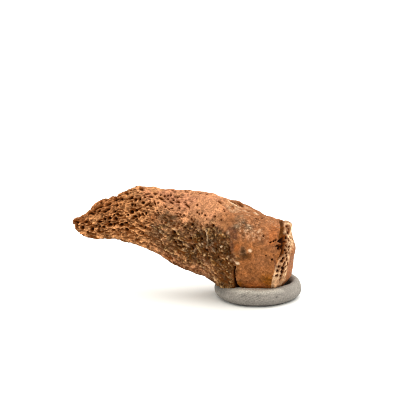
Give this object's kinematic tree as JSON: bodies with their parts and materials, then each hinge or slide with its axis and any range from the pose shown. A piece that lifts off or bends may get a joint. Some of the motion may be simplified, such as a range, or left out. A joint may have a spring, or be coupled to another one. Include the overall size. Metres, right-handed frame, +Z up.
{
  "type": "fossil bear claw on a putty ring",
  "caption": "Bone core of a fossil cave bear claw, curved, thin and spongy at its worn tip, held up by its broad base in a rolled ring of modelling putty.",
  "frame": {"origin": "on the table, under the middle of the claw and its ring taken together", "axes": "+X along the claw from its tip to its joint face, +Z up from the table, +Y across the claw to the side away from the viewer"},
  "size_m": [0.0502, 0.0187, 0.0229],
  "materials": {
    "fossil_bone": "matte",
    "modelling_putty": "matte"
  },
  "bodies": {
    "root": {"claw": "fossil_bone", "putty_ring": "modelling_putty"}
  },
  "joints": []
}
